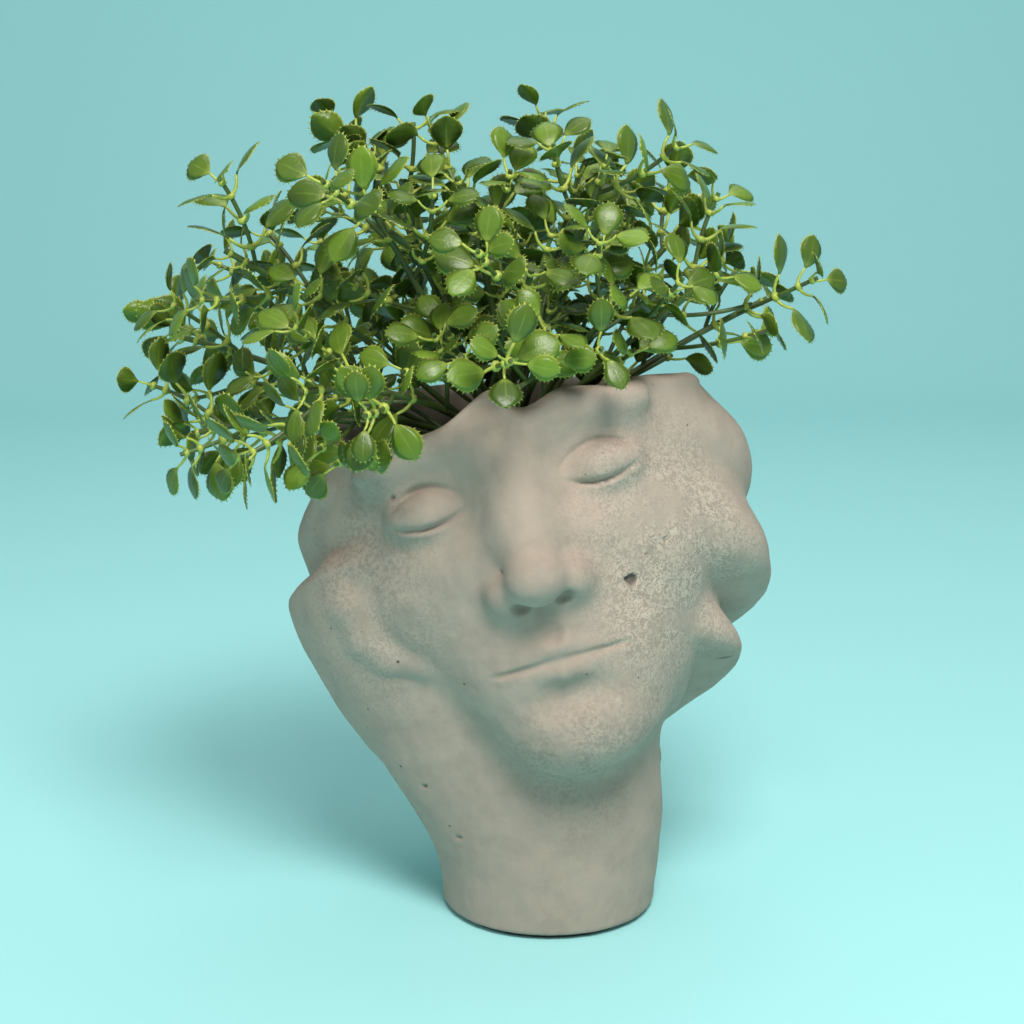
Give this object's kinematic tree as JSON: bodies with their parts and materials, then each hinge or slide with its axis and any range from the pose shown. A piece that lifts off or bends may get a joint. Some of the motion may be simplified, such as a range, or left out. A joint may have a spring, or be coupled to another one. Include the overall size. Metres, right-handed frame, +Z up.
{
  "type": "head planter",
  "caption": "Cast concrete planter shaped as a leaning head on a round neck, open at the brow, with a lift-out insert of small-leaved artificial foliage.",
  "frame": {"origin": "centre of the flat underside of the foot, on the surface it stands on", "axes": "+Z up; the face looks along -Y; +X is on the viewer's right"},
  "size_m": [0.2135, 0.1663, 0.2397],
  "materials": {
    "concrete": "cast grey concrete, mottled, with pinholes",
    "felt": "thin dark felt",
    "foam": "dark rigid foam",
    "dressing": "dark crumbled dressing",
    "stem_green": "moulded green stems, semi-gloss",
    "leaf_green": "moulded leaves, glossy, mid green with paler edges"
  },
  "bodies": {
    "planter": {"planter_head": "concrete", "foot_pad": "felt"},
    "plant_insert": {"foam_plug": "foam", "soil_dressing": "dressing", "bush_stalk": "stem_green", "branch_01_stem": "stem_green", "branch_01_leaves": "leaf_green", "branch_02_stem": "stem_green", "branch_02_leaves": "leaf_green", "branch_03_stem": "stem_green", "branch_03_leaves": "leaf_green", "branch_04_stem": "stem_green", "branch_04_leaves": "leaf_green", "branch_05_stem": "stem_green", "branch_05_leaves": "leaf_green", "branch_06_stem": "stem_green", "branch_06_leaves": "leaf_green", "branch_07_stem": "stem_green", "branch_07_leaves": "leaf_green", "branch_08_stem": "stem_green", "branch_08_leaves": "leaf_green", "branch_09_stem": "stem_green", "branch_09_leaves": "leaf_green", "branch_10_stem": "stem_green", "branch_10_leaves": "leaf_green", "branch_11_stem": "stem_green", "branch_11_leaves": "leaf_green", "branch_12_stem": "stem_green", "branch_12_leaves": "leaf_green", "branch_13_stem": "stem_green", "branch_13_leaves": "leaf_green", "branch_14_stem": "stem_green", "branch_14_leaves": "leaf_green", "branch_15_stem": "stem_green", "branch_15_leaves": "leaf_green", "branch_16_stem": "stem_green", "branch_16_leaves": "leaf_green", "branch_17_stem": "stem_green", "branch_17_leaves": "leaf_green", "branch_18_stem": "stem_green", "branch_18_leaves": "leaf_green", "branch_19_stem": "stem_green", "branch_19_leaves": "leaf_green", "branch_20_stem": "stem_green", "branch_20_leaves": "leaf_green"}
  },
  "joints": [
    {"name": "insert_lift", "type": "slide", "parent": "planter", "child": "plant_insert", "axis": [0, 0, 1], "range_m": [0, 0.16]}
  ]
}
